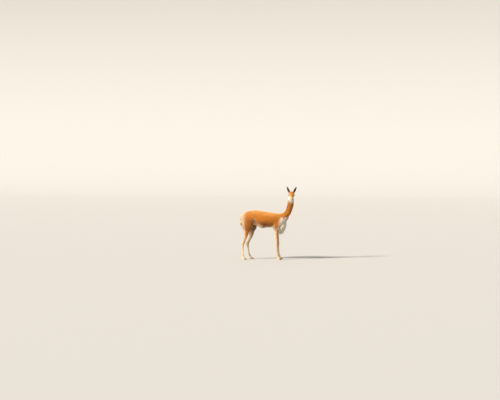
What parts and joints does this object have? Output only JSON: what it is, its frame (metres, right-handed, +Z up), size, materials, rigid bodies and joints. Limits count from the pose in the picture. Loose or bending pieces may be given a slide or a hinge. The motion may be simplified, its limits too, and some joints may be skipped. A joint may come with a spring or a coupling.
{
  "type": "vicuna",
  "caption": "Life-size standing vicuna with a slim upright neck, its head turned to one side, pricked ears and a long white bib on the chest, as a still model.",
  "frame": {"origin": "on the floor under the middle of the animal's bounding box", "axes": "+X forwards along the body, +Y to the animal's left, +Z up"},
  "size_m": [1.0394, 0.3086, 1.3329],
  "materials": {
    "fawn_coat": "dense soft fawn fur",
    "pale_coat": "short cream fur",
    "white_coat": "long silky white hair",
    "ear": "short brown fur",
    "eye": "dark, wet and glossy",
    "nail": "dark horn"
  },
  "bodies": {
    "root": {"torso": "fawn_coat", "chest": "fawn_coat", "bib": "white_coat", "neck": "fawn_coat", "head": "fawn_coat", "eye_right": "eye", "eye_left": "eye", "ear_right": "ear", "ear_left": "ear", "tail": "pale_coat", "hind_right_upper": "fawn_coat", "hind_right_lower": "pale_coat", "hind_right_foot": "pale_coat", "hind_right_nail_inner": "nail", "hind_right_nail_outer": "nail", "hind_left_upper": "fawn_coat", "hind_left_lower": "pale_coat", "hind_left_foot": "pale_coat", "hind_left_nail_inner": "nail", "hind_left_nail_outer": "nail", "fore_right_upper": "fawn_coat", "fore_right_lower": "pale_coat", "fore_right_foot": "pale_coat", "fore_right_nail_inner": "nail", "fore_right_nail_outer": "nail", "fore_left_upper": "fawn_coat", "fore_left_lower": "pale_coat", "fore_left_foot": "pale_coat", "fore_left_nail_inner": "nail", "fore_left_nail_outer": "nail"}
  },
  "joints": []
}
